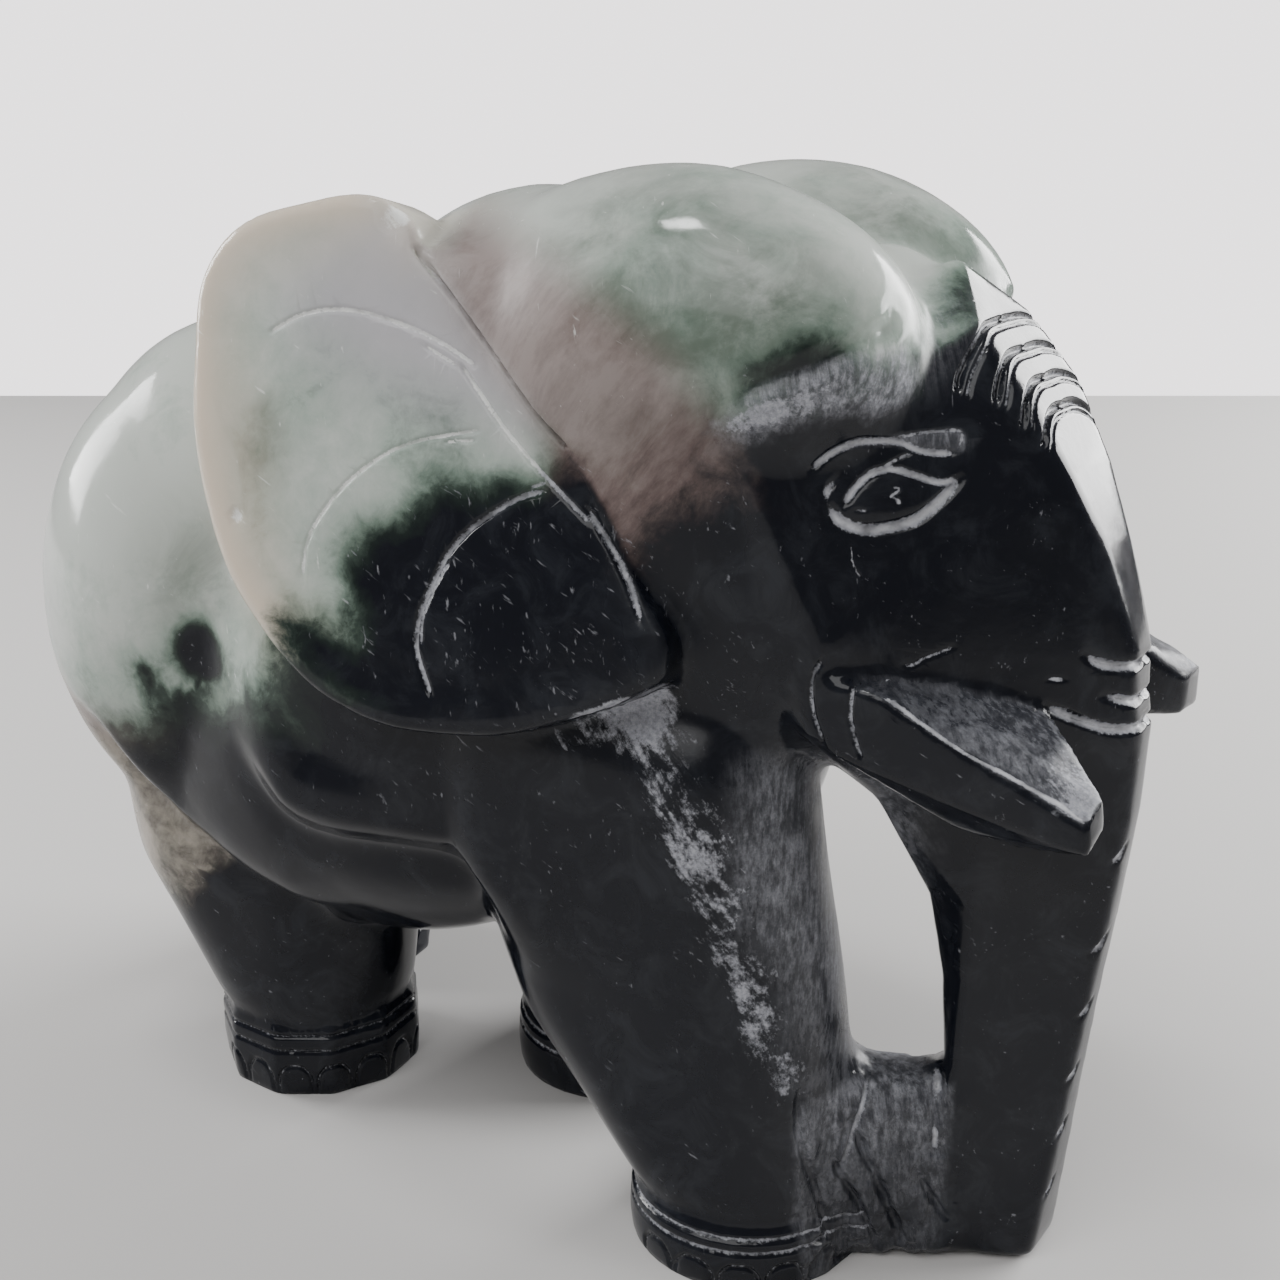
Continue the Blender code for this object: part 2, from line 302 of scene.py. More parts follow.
def tidy_faces(piece):
    pick(piece)
    bpy.ops.object.mode_set(mode="EDIT")
    bpy.ops.mesh.select_all(action="SELECT")
    bpy.ops.mesh.remove_doubles(threshold=0.001)
    bpy.ops.mesh.normals_make_consistent(inside=False)
    bpy.ops.object.mode_set(mode="OBJECT")


def tusk(side):
    """A blunt wedge with a sloping top that comes out of the cheek and runs forward and down."""
    root = [
        (33.9, 18.5, 57.4), (34.8, 18.6, 51.9), (36.0, 15.4, 58.0), (36.5, 16.0, 51.3), (36.0, 8.0, 52.5),
    ]
    top = [
        (38.5, 18.4, 56.9), (44.9, 17.3, 53.2), (50.2, 16.3, 50.8), (44.0, 11.0, 55.4), (48.8, 8.0, 53.9),
    ]
    under = [(44.3, 14.6, 46.4), (49.2, 13.8, 45.7), (48.0, 6.0, 48.0)]
    end = [(54.7, 15.4, 48.8), (54.8, 15.3, 46.9), (54.8, 13.0, 50.3), (54.9, 12.6, 48.0)]
    if side == LEFT:
        # The left tusk is the shorter, and its end stands higher
        top = [(x, y, z + rise) for (x, y, z), rise in zip(top, (0.7, 1.6, 2.4, 1.5, 2.2))]
        under = [(44.3, 14.6, 47.9), (48.0, 6.0, 50.1)]
        end = [(52.9, 16.2, 52.3), (52.9, 16.0, 49.2), (52.8, 12.8, 52.0), (52.7, 12.8, 49.2)]
    return hull([((x, y * side, z), TUSK_CORNER) for x, y, z in root + top + under + end])


def foot(name):
    """A foot drawn up ring by ring from its sole: round in front, and cut to flats behind."""
    x, y, height = FEET[name]
    profile = [(0.0, 0.94), (0.1, 0.98), (0.45, 1.0), (1.0, 0.985), (1.25, 0.9)]
    sides = 11 if "hind" in name else 96
    start = profile[0][1]
    bpy.ops.mesh.primitive_circle_add(
        vertices=sides, radius=FOOT_RADIUS * start, fill_type="NGON", location=(x, y, 0),
    )
    piece = bpy.context.object
    bpy.ops.object.mode_set(mode="EDIT")
    for (low_z, low_r), (high_z, high_r) in zip(profile, profile[1:]):
        rise = (high_z - low_z) * height
        bpy.ops.mesh.extrude_region_move(TRANSFORM_OT_translate={"value": (0, 0, rise)})
        grow = high_r / low_r
        bpy.ops.transform.resize(value=(grow, grow, 1), center_override=(x, y, high_z * height))
    bpy.ops.object.mode_set(mode="OBJECT")
    tidy_faces(piece)
    return piece


def apply_modifiers(piece):
    pick(piece)
    for modifier in list(piece.modifiers):
        bpy.ops.object.modifier_apply(modifier=modifier.name)


def fuse(pieces, voxel, steps):
    """One skin round all the pieces, with its edges softened."""
    piece = join(pieces)
    remesh = piece.modifiers.new("skin", "REMESH")
    remesh.mode = "VOXEL"
    remesh.voxel_size = voxel
    smooth = piece.modifiers.new("soften", "SMOOTH")
    smooth.factor = 0.5
    smooth.iterations = steps
    apply_modifiers(piece)
    return piece


def flatten_under(piece, height):
    """Cut everything below height away, so that the feet stand flat."""
    pick(piece)
    bpy.ops.object.mode_set(mode="EDIT")
    bpy.ops.mesh.select_all(action="SELECT")
    bpy.ops.mesh.bisect(plane_co=(0, 0, height), plane_no=(0, 0, 1), use_fill=True, clear_inner=True)
    bpy.ops.object.mode_set(mode="OBJECT")


Cut = namedtuple("Cut", "plane line width depth sides chalk", defaults=(1.0,))


class Skin:
    """The points of the stone as they lie on each work plane."""

    def __init__(self, mesh):
        self.points = np.empty(len(mesh.vertices) * 3)
        mesh.vertices.foreach_get("co", self.points)
        self.points = self.points.reshape(-1, 3)
        self.normals = np.empty(len(mesh.vertices) * 3)
        mesh.vertex_normals.foreach_get("vector", self.normals)
        self.normals = self.normals.reshape(-1, 3)
        self.views = {}

    def view(self, plane, side):
        """Across and up on the plane, height above it, and how squarely the surface faces it."""
        if (plane, side) not in self.views:
            flip = MIRROR if side == LEFT else 1
            points, normals = self.points * flip, self.normals * flip
            if plane in FEET:
                away = points[:, :2] - FEET[plane][:2]
                reach = np.hypot(away[:, 0], away[:, 1])
                flat = np.stack((np.arctan2(away[:, 1], away[:, 0]) * FOOT_RADIUS, points[:, 2]), 1)
                faces = (away * normals[:, :2]).sum(1) / np.maximum(reach, 1)
                self.views[plane, side] = (flat, reach - FOOT_RADIUS, faces)
            else:
                turn = np.array(WORK_PLANES[plane].inverted())
                local = points @ turn[:3, :3].T + turn[:3, 3]
                self.views[plane, side] = (local[:, :2], local[:, 2], normals @ turn[2, :3])
        return self.views[plane, side]

    def near(self, plane, side, line, margin):
        """Which points face the plane, lie close to it and are within the margin of a line."""
        flat, height, faces = self.view(plane, side)
        line = np.array(line)
        inside = (flat > line.min(0) - margin).all(1) & (flat < line.max(0) + margin).all(1)
        low, high = PLANE_REACH[plane]
        return np.flatnonzero(inside & (height > low) & (height < high) & (faces > 0.25))


# How far below and above its plane the surface of each may lie
PLANE_REACH = {
    "ear": (-1.5, 3.5), "face": (-5, 5), "brow": (-6, 3),
    "front": (46, 58), "side": (12, 30), "web": (-6, 6),
    **{name: (-2.5, 1.5) for name in FEET},
}


def curve_through(line, steps=6, closed=False):
    """A smooth curve through given points."""
    if len(line) < 3:
        return np.array(line, float)
    knots = np.array(line, float)
    if closed:
        knots = np.vstack((knots[-1], knots, knots[:2]))
    else:
        knots = np.vstack((2 * knots[0] - knots[1], knots, 2 * knots[-1] - knots[-2]))
    a, b, c, d = knots[:-3], knots[1:-2], knots[2:-1], knots[3:]
    points = []
    for t in np.arange(steps) / steps:
        bend = (2 * a - 5 * b + 4 * c - d) * t**2 + (3 * b - a - 3 * c + d) * t**3
        points.append(0.5 * (2 * b + (c - a) * t + bend))
    curve = np.stack(points, 1).reshape(-1, 2)
    return curve if closed else np.vstack((curve, knots[-2]))


def off_line(flat, line):
    """Each point's distance to a line, and how near it is to an end, measured along the line."""
    best = np.full(len(flat), np.inf)
    along = np.zeros(len(flat))
    start = 0.0
    for a, b in zip(line, line[1:]):
        run = b - a
        length = math.hypot(*run)
        if length == 0:
            continue
        part = np.clip((flat - a) @ run / length**2, 0, 1)
        gap = np.hypot(*(flat - a - part[:, None] * run).T)
        closer = gap < best
        best[closer] = gap[closer]
        along[closer] = start + part[closer] * length
        start += length
    return best, np.minimum(along, start - along)


def inside_depth(flat, outline):
    """How far each point lies inside a closed outline, and below zero outside it."""
    ring = np.vstack((outline, outline[:1]))
    gap, _ = off_line(flat, ring)
    odd = np.zeros(len(flat), bool)
    for (ax, ay), (bx, by) in zip(ring, ring[1:]):
        if ay == by:
            continue
        crosses = (ay > flat[:, 1]) != (by > flat[:, 1])
        odd ^= crosses & (flat[:, 0] < (bx - ax) * (flat[:, 1] - ay) / (by - ay) + ax)
    return np.where(odd, gap, -gap)


def ease(value, low, high):
    """Zero below low, one above high, and smooth between them."""
    part = np.clip((value - low) / (high - low), 0, 1)
    return part * part * (3 - 2 * part)


LATTICE = np.random.default_rng(7).random((32, 32, 32))


def cloud(points, size):
    """Smooth random values from zero to one, with bumps about size millimetres across."""
    grid = points / size
    cell = np.floor(grid).astype(int)
    part = grid - cell
    part = part * part * (3 - 2 * part)
    total = np.zeros(len(points))
    for corner in np.ndindex(2, 2, 2):
        weight = np.where(corner, part, 1 - part).prod(1)
        total += weight * LATTICE[tuple(((cell + corner) % 32).T)]
    return total


def cut_profile(skin, cut):
    """Points near one cut line, with one at its middle falling to zero at its width."""
    line = curve_through(cut.line)
    for side in cut.sides:
        chosen = skin.near(cut.plane, side, line, cut.width)
        if not len(chosen):
            continue
        gap, to_end = off_line(skin.view(cut.plane, side)[0][chosen], line)
        yield chosen, np.clip(1 - gap / cut.width, 0, 1), np.clip(to_end / (2 * cut.width) + 0.3, 0, 1)


def area(skin, plane, outline, soft, sides):
    """One inside an area of the surface, fading to zero across its soft edge."""
    value = np.zeros(len(skin.points))
    outline = curve_through(outline, 4, closed=True)
    for side in sides:
        chosen = skin.near(plane, side, outline, soft)
        if len(chosen):
            depth = inside_depth(skin.view(plane, side)[0][chosen], outline)
            value[chosen] = np.maximum(value[chosen], ease(depth, -soft, soft))
    return value


def strokes(plane, rows):
    return [Cut(plane, *row) for row in rows]


def cuts():
    """Every line that the carver's wheel has cut: its points, width, depth, sides and whiteness. The faint
    white line along the right tusk's top edge is a painted highlight.
    """
    ear = strokes("ear", [
        ([(-1.2, 18.1), (1.1, 15.8), (3.4, 13.6), (5.7, 11.3), (8.5, 8.5), (11.3, 5.4), (13.8, 3.2)],
         0.36, 0.7, BOTH, 0),
        ([(-14.5, 10.6), (-11.2, 12.2), (-7.2, 12.8), (-2.8, 12.2), (1.5, 10.9), (5.4, 9.0)],
         0.32, 0.3, BOTH, 0.75),
        ([(0.5, 10.4), (3.7, 8.9)], 0.26, 0.2, (RIGHT,), 0.75),
        ([(4.0, 9.0), (5.9, 6.9), (8.5, 4.1), (12.1, 0.9), (16.4, -2.5)], 0.32, 0.3, BOTH, 0.75),
        ([(15.9, -1.3), (18.3, -4.2), (20.1, -7.0), (21.4, -9.8)], 0.45, 0.35, BOTH, 0.75),
        ([(-9.8, -9.6), (-9.5, -6.9), (-8.5, -4.6), (-6.2, -1.6), (-3.1, 0.9), (0.7, 2.7), (6.2, 4.0)],
         0.27, 0.22, BOTH, 0.75),
        ([(3.2, 2.8), (5.9, 3.2)], 0.22, 0.2, (RIGHT,), 0.75),
        ([(12.4, -0.2), (10.0, -1.1), (7.7, -2.6), (5.8, -4.1), (3.9, -6.4), (2.7, -9.0), (1.7, -11.6),
          (1.6, -14.1), (2.4, -16.2), (3.2, -18.0)], 0.38, 0.38, BOTH, 0.75),
        ([(10.8, -0.2), (12.4, 0.4)], 0.26, 0.2, (RIGHT,), 0.75),
        ([(4.3, -6.6), (3.1, -8.9), (2.1, -11.6), (2.0, -13.9)], 0.25, 0.2, (RIGHT,), 0.75),
    ])
    eye = strokes("face", [
        ([(-6.1, 2.2), (-5.1, 0.9), (-3.6, 0.2), (-2.0, 0.1), (0.5, 0.6), (2.4, 1.9), (4.2, 3.6)],
         0.68, 0.45, BOTH, 0.9),
        ([(-4.9, 2.0), (-3.8, 3.4), (-2.4, 4.4), (-0.8, 4.5), (0.7, 4.0), (2.5, 3.4), (4.2, 3.6)],
         0.42, 0.35, BOTH, 0.9),
        ([(-2.4, 4.3), (-0.8, 5.2), (0.6, 5.7)], 0.22, 0.19, (RIGHT,), 0.7),
        ([(-7.3, 4.8), (-5.8, 5.9), (-4.0, 6.6), (-2.1, 6.7), (-0.2, 6.5), (1.3, 5.8), (3.9, 5.5)],
         0.42, 0.35, BOTH, 0.9),
        ([(-1.3, 6.8), (1.9, 7.2), (4.3, 7.1), (4.1, 5.7)], 0.26, 0.14, (RIGHT,), 0.7),
        ([(-5.3, 4.0), (-6.0, 3.2), (-6.1, 2.2)], 0.5, 0.2, BOTH, 0.8),
        ([(-1.3, 3.3), (-0.6, 3.0), (-1.3, 2.5), (-0.6, 2.1), (-1.1, 1.7)], 0.18, 0.14, BOTH, 0.75),
        ([(-4.2, 1.6), (-3.0, 1.5)], 0.18, 0.11, (RIGHT,), 0.7),
        ([(-4.4, -0.9), (-4.2, -2.4), (-3.6, -3.6)], 0.15, 0.1, (RIGHT,), 0.7),
        ([(-0.4, -10.3), (0.4, -10.4), (1.4, -9.9), (3.7, -9.2)], 0.22, 0.14, (RIGHT,), 0.7),
    ])
    dome = strokes("face", [
        ([(-14.0, 10.4), (-11.5, 11.1), (-8.8, 11.8), (-5.5, 13.1), (-3.4, 13.9), (-1.7, 14.9),
          (-1.0, 16.2)], 1.4, 0.6, BOTH, 0),
    ])
    brow = []
    for arc in (
        [(-8.7, 5.4), (-7.6, 6.8), (-5.8, 8.3), (-3.6, 9.2), (0.2, 9.4)],
        [(-7.2, 3.3), (-5.9, 5.1), (-4.6, 6.0), (-2.6, 6.5), (0.2, 6.5)],
        [(-6.3, 0.8), (-5.7, 2.1), (-4.6, 3.0), (-2.4, 3.7), (0.2, 3.7)],
        [(-5.6, -1.2), (-4.8, -0.2), (-3.4, 0.7), (-1.8, 1.1), (0.2, 1.1)],
    ):
        brow.append(Cut("brow", arc, 0.42, 0.5, BOTH, 0.6))
        brow.append(Cut("brow", [(x + 0.3, z - 0.75) for x, z in arc], 0.26, 0.2, BOTH, 0.6))
    trunk_top = strokes("front", [
        ([(-4.6, 57.9), (-3.9, 57.2), (-2.7, 56.8), (0.2, 56.8)], 0.59, 0.55, BOTH),
        ([(-3.6, 54.5), (-1.9, 53.9), (0.2, 53.9)], 0.59, 0.55, BOTH),
        ([(-6.9, 53.9), (-4.7, 52.4), (-2.9, 51.7), (0.2, 51.8)], 0.59, 0.5, BOTH),
        ([(-6.9, 56.1), (-5.8, 56.0)], 0.23, 0.1, (RIGHT,)),
    ])
    for rise in (40.3, 31.9, 25.5, 19.1, 13.5, 7.3):
        trunk_top.append(Cut("front", [(-1.9, rise - 0.7), (-0.7, rise + 0.9)], 0.5, 0.3, (RIGHT,)))
    tusk_root = strokes("side", [
        ([(34.4, 58.6), (33.5, 56.8), (33.6, 54.0), (34.6, 51.6)], 0.36, 0.3, BOTH, 0.62),
        ([(36.9, 57.0), (36.9, 54.0), (37.8, 50.8)], 0.36, 0.3, BOTH, 0.62),
        # Painted highlight: a thin white line along the right tusk's top edge, cut only 0.03 mm deep
        ([(38.3, 56.9), (44.9, 53.2), (50.2, 50.9), (54.6, 48.7)], 0.16, 0.03, (RIGHT,), 0.95),
    ])
    web = strokes("web", [
        ([(-1.6, 9.6), (-2.2, 7.6), (-3.2, 4.4), (-4.2, 2.2)], 0.42, 0.4, BOTH, 0.8),
        ([(-3.4, 6.7), (-4.6, 3.4)], 0.4, 0.3, BOTH, 0.3),
        ([(4.1, 5.9), (4.3, 2.9)], 0.4, 0.4, BOTH, 0.9),
        ([(4.6, 10.4), (4.3, 7.6)], 0.6, 0.5, BOTH),
        ([(-3.0, 5.8), (-0.4, -0.4), (1.8, -6.0)], 0.7, 0.6, BOTH, 0.3),
        ([(-4.8, 3.0), (-2.6, -1.5), (-0.5, -6.1)], 0.6, 0.6, BOTH, 0.3),
        ([(2.2, 1.9), (5.5, -3.6)], 0.5, 0.35, BOTH, 0.3),
        ([(-8.1, 10.7), (-8.1, 6.5), (-6.3, 0.5), (-4.6, -5.2)], 0.7, 0.5, BOTH, 0.15),
    ])
    return ear + eye + dome + brow + trunk_top + tusk_root + web + toes()


def toes():
    """Two rings round each foot, and arched toes on its front and its outer side."""
    lines = []
    for name, (_, y, height) in FEET.items():
        white = 0.65 if "front" in name else 0.48
        for rise in (0.68, 0.9):
            around = math.pi * FOOT_RADIUS
            ring = [(-around, rise * height), (around, rise * height)]
            lines.append(Cut(name, ring, 0.36, 0.3, (RIGHT,), white))
        outward = -40 if y < 0 else 40
        for step in range(-3, 4):
            middle = math.radians(outward + 23 * step) * FOOT_RADIUS
            top = height * 0.45
            arch = [(-1.9, 0.2), (-1.7, top * 0.6), (-0.9, top * 0.95), (0, top)]
            arch += [(-across, up) for across, up in arch[2::-1]]
            arch = [(middle + across, up) for across, up in arch]
            lines.append(Cut(name, arch, 0.32, 0.3, (RIGHT,), 0.45))
    return lines


def on_ear(skin, side):
    """One on the outer face and the rim of an ear."""
    flat, height, _ = skin.view("ear", side)
    value = np.zeros(len(flat))
    near = np.flatnonzero((height > -6.5) & (height < 5) & (np.abs(flat) < 27).all(1))
    value[near] = ease(inside_depth(flat[near], curve_through(EAR_OUTLINE, 4, closed=True)), -1.5, -0.5)
    return value


def shoulder(skin):
    """The shoulder lies over the flank with a rounded rim, and the flank is hollowed below it."""
    rim = [
        (-27, 47), (-22.6, 43.6), (-20.3, 41.9), (-18.2, 40.1), (-15.5, 37.6), (-11.2, 36.6), (-4.6, 36.7),
        (0.7, 36.1), (3.9, 33.4), (6.2, 27.5), (9.5, 18), (12, 0), (80, 0), (80, 120), (-27, 120),
    ]
    rise = np.zeros(len(skin.points))
    outline = curve_through(rim, 4, closed=True)
    for side in BOTH:
        chosen = skin.near("side", side, outline, 7)
        depth = inside_depth(skin.view("side", side)[0][chosen], outline)
        fade = ease(skin.points[chosen, 2], 24, 36) * ease(skin.points[chosen, 0], -24, -14)
        fade *= 1 - on_ear(skin, side)[chosen]
        bulge = 1.5 * ease(depth, -2.0, 2.0) * np.exp(-((np.maximum(depth - 2, 0) / 5) ** 2))
        hollow = 0.5 * np.exp(-((depth + 2.8) / 2.2) ** 2)
        rise[chosen] = fade * (bulge - hollow)
    return rise


def haunch(skin):
    """The flank hangs over the top of each hind leg along a line that falls toward the belly."""
    flank = [
        (-46, 47), (-41.4, 42), (-39.9, 39.9), (-38.1, 36.8), (-36.7, 33.7), (-34.2, 31.3), (-30.3, 29.4),
        (-26.3, 27.3), (-21.7, 25.8), (-17.8, 24.8), (-14.2, 24.4), (-6, 24.4), (0, 28), (0, 60), (-48, 60),
    ]
    rise = np.zeros(len(skin.points))
    outline = curve_through(flank, 4, closed=True)
    for side in BOTH:
        chosen = skin.near("side", side, outline, 6)
        depth = inside_depth(skin.view("side", side)[0][chosen], outline)
        x, z = skin.points[chosen, 0], skin.points[chosen, 2]
        fade = ease(-x, 12, 20) * ease(z, 20, 26) * ease(-z, -44, -36)
        bulge = 0.9 * ease(depth, -1.2, 1.5) * np.exp(-((np.maximum(depth - 1.5, 0) / 5) ** 2))
        hollow = 0.9 * np.exp(-((depth + 2.0) / 2.0) ** 2)
        rise[chosen] = fade * (bulge - hollow)
    return rise


def form(skin):
    """How far each point moves out along its normal, apart from the fine cuts."""
    points, normals = skin.points, skin.normals
    rise = shoulder(skin) + haunch(skin)
    rise += 0.35 * (cloud(points, 9.0) - 0.5)
    # The ears are pillowed inside their rims
    pillow = area(skin, "ear", [(x * 0.72, y * 0.72) for x, y in EAR_OUTLINE], 4.5, BOTH)
    rise += 0.35 * pillow
    # The eyeball swells between its lids
    eyeball = area(skin, "face", [
        (-4.6, 1.9), (-2.2, 0.9), (1.2, 1.5), (3.4, 3.2), (0.6, 3.5), (-2.2, 3.9),
    ], 0.6, BOTH)
    rise += 0.3 * eyeball
    # The web between leg and trunk was left as it came from the point
    rough = block(points, (31, -17, -5), (43.5, 17, 17.5), 2.0)
    rise += rough * (0.8 * (cloud(points * (1, 1, 0.5), 1.6) - 0.5) + 0.5 * (cloud(points, 0.8) - 0.5))
    # Tool marks on the top of the tusks
    shelf = block(points * (1, MIRROR[1], 1), (37, 7, 47), (56, 19, 59), 0.7)
    shelf = np.maximum(shelf, block(points, (37, 7, 47), (56, 19, 59), 0.7)) * ease(normals[:, 2], 0.45, 0.7)
    rise += shelf * 0.35 * (cloud(points * (0.4, 1, 1), 1.0) - 0.5)
    # Chips on the rim of the right ear
    for place, size, depth in CHIPS:
        gap = np.linalg.norm(points - place, axis=1) / size
        rise -= depth * ease(1 - gap, 0, 0.8)
    return rise


def block(points, low, high, soft):
    """One inside a box, fading to zero across its soft sides."""
    value = np.ones(len(points))
    for axis in range(3):
        value *= ease(points[:, axis], low[axis] - soft, low[axis] + soft)
        value *= ease(-points[:, axis], -high[axis] - soft, -high[axis] + soft)
    return value


def move_out(mesh, skin, rise):
    mesh.vertices.foreach_set("co", (skin.points + skin.normals * rise[:, None]).ravel())
    mesh.update()


def refine(piece, chosen):
    """Split the faces that have a chosen point, so that fine cuts keep their shape."""
    mesh = piece.data
    corners = np.empty(len(mesh.loops), np.int32)
    mesh.loops.foreach_get("vertex_index", corners)
    starts = np.empty(len(mesh.polygons), np.int32)
    mesh.polygons.foreach_get("loop_start", starts)
    pick(piece)
    bpy.ops.object.mode_set(mode="EDIT")
    bpy.ops.mesh.select_mode(type="FACE")
    bpy.ops.mesh.select_all(action="DESELECT")
    bpy.ops.object.mode_set(mode="OBJECT")
    mesh.polygons.foreach_set("select", np.maximum.reduceat(chosen[corners], starts))
    bpy.ops.object.mode_set(mode="EDIT")
    bpy.ops.mesh.subdivide(number_cuts=1)
    bpy.ops.mesh.select_mode(type="VERT")
    bpy.ops.object.mode_set(mode="OBJECT")


def beside_cuts(skin, margin):
    """Which points are on a cut line or within the margin of one."""
    chosen = np.zeros(len(skin.points), bool)
    for cut in cuts():
        for near, profile, _ in cut_profile(skin, cut._replace(width=cut.width + margin)):
            chosen[near[profile > 0]] = True
    return chosen


def carve(piece):
    """The broad forms first, then the cut lines on a finer skin."""
    skin = Skin(piece.data)
    move_out(piece.data, skin, form(skin))
    refine(piece, beside_cuts(Skin(piece.data), 0.35))
    skin = Skin(piece.data)
    rise = np.zeros(len(skin.points))
    for cut in cuts():
        for near, profile, ends in cut_profile(skin, cut):
            groove = -cut.depth * ease(profile, 0, 1) * ends
            rise[near] = np.minimum(rise[near], groove)
    rise *= 0.75 + 0.5 * cloud(skin.points, 0.9)
    move_out(piece.data, skin, rise)


def thin_out(piece, triangles):
    """Fewer triangles in the plain surfaces, and all of them kept along the cut lines."""
    cut = beside_cuts(Skin(piece.data), 0.3)
    plain = piece.vertex_groups.new(name="plain")
    plain.add(np.flatnonzero(~cut).tolist(), 1.0, "REPLACE")
    piece.data.calc_loop_triangles()
    reduce = piece.modifiers.new("thin_out", "DECIMATE")
    reduce.ratio = min(1, triangles / len(piece.data.loop_triangles))
    reduce.use_collapse_triangulate = True
    reduce.vertex_group = "plain"
    reduce.vertex_group_factor = 1.0
    apply_modifiers(piece)
    piece.vertex_groups.clear()


def paint(piece):
    """Where the stone turns from pale to black, and where it is green, brown, cream or left unpolished, with
    a painted sheen under the domes and a brown on the back of the hind legs that is partly a painted reddish
    reflection.
    """
    skin = Skin(piece.data)
    fields = {
        "pale": pale(skin), "moss": moss(skin), "mauve": mauve(skin), "cream": cream(skin),
        "violet": violet(skin), "chalk": chalk(skin), "brushed": brushed(skin), "scuff": scuff(skin),
        "groove": groove(skin),
    }
    for name, value in fields.items():
        layer = piece.data.attributes.new(name, "FLOAT", "POINT")
        layer.data.foreach_set("value", np.clip(value, 0, 1))


def spot(points, centre, radii):
    """One at the centre of a soft round patch, falling to zero at its radii."""
    return ease(1 - np.linalg.norm((points - centre) / radii, axis=1), 0, 1)


def spots(points, *patches):
    """Soft round patches added up, each its strength, centre and radii."""
    return sum(strength * spot(points, centre, radii) for strength, centre, radii in patches)


def hind_leg_back(points):
    """One on the back of the hind legs, behind a line that leans forward to the foot."""
    x, y, z = points.T
    heights = (17, 21, 24, 27, 29.4, 31.3, 33.7, 36.8, 40, 43)
    edge = np.interp(z, heights, (-36.4, -33.8, -31, -28, -31.5, -35, -37.5, -39, -41, -45))
    return ease(edge - x, -0.8, 1.2) * ease(z, 15, 22) * ease(-z, -47, -40) * ease(-y, -8, 4)


def pale(skin):
    """The grey jade lies above a slanting bed of black."""
    x, y, z = skin.points.T
    bed = np.interp(x, (-60, -25, -6, 8, 18, 30, 40), (42, 43, 54, 66, 71, 75, 84))
    bed += np.interp(y, (-5, 10), (0, 4))
    warp = 9 * (cloud(skin.points, 14) - 0.5) + 6 * (cloud(skin.points, 5) - 0.5)
    value = 0.5 + (z - bed + warp) / 18
    ear_black = area(skin, "ear", [
        (15.0, 3.4), (11.9, 0.2), (9.4, -0.6), (6.7, -2.0), (3.2, -1.8), (-0.5, -4.6), (-4.0, -6.7),
        (-4.6, -9.6), (-2.6, -12.1), (-4.6, -15.0), (-8.5, -13.4), (-12, -15), (0, -22), (24, -20), (25, -6),
    ], 4.4, (RIGHT,))
    whole = area(skin, "ear", [(x * 1.04, y * 1.04) for x, y in EAR_OUTLINE], 0.6, (RIGHT,))
    ear_tone = 0.86 - 0.9 * ear_black + 0.2 * (cloud(skin.points, 6) - 0.5)
    value = value * (1 - whole) + ear_tone * whole
    beside_ear = (y < -18) & (x > -32) & (x < -20) & (z > 46) & (whole < 0.5)
    value = np.where(beside_ear, np.maximum(value, 0.66), value)
    face = area(skin, "face", [
        (-12.9, 7.6), (-8.7, 8.4), (-5.4, 9.5), (-3.2, 9.8), (0.8, 9.6), (1.9, 12.5),
        (4.6, 14.1), (12, 14.5), (22, -12), (20, -40), (-12, -40), (-9, -4),
    ], 0.9, BOTH)
    value = np.minimum(value, 1 - 0.92 * face)
    value = np.maximum(value, 0.64 * hind_leg_back(skin.points))
    return value + spots(
        skin.points,
        (-1.0, (-26.7, -26, 50.2), (3.9, 6, 4.6)), (-0.3, (-31.9, -28, 47.4), (1.6, 3, 1.8)),
        (-0.35, (21, -22, 84), (8, 9, 7)), (-0.22, (24, -16, 88), (16, 14, 12)),
        (-0.25, (31, -19, 80.5), (8, 7, 4)), (-0.4, (38.5, 0, 84), (8, 10, 9)),
        (-0.35, (32, 8, 86), (10, 9, 8)), (-0.42, (-15.5, -28.8, 71), (2.4, 5, 3.6)),
        (0.3, (-37, -27, 43), (9, 10, 5)),
    )


def moss(skin):
    return spots(
        skin.points,
        (0.7, (-27, -26, 57), (9, 9, 11)), (0.7, (-25, -27, 46), (5, 6, 5)),
        (2.0, (-15.2, -28.7, 71.2), (4.2, 6, 5.5)), (1.2, (20, -20, 86), (17, 14, 12)),
        (1.2, (29, -20, 82), (13, 11, 10)), (0.9, (26, 8, 88), (18, 14, 12)),
        (0.6, (10.5, -24, 69.5), (3, 5, 2.5)), (0.7, (0, -27, 63), (11, 6, 6)),
        (0.35, (10, -8, 94), (22, 14, 10)),
    )


def mauve(skin):
    neck = area(skin, "side", [
        (-2, 90), (5, 89.5), (13, 87), (21, 83), (26, 78), (28.5, 72), (29, 64), (28, 57), (22, 56),
        (19, 62), (14.7, 69), (9.5, 76), (3.4, 82),
    ], 2.5, BOTH)
    rump = spot(skin.points, (-40, -24, 41), (12, 10, 5))
    # On the back of the hind legs the brown is partly the stone's own, partly a painted reddish reflection
    return neck + 0.6 * rump + 0.5 * hind_leg_back(skin.points)


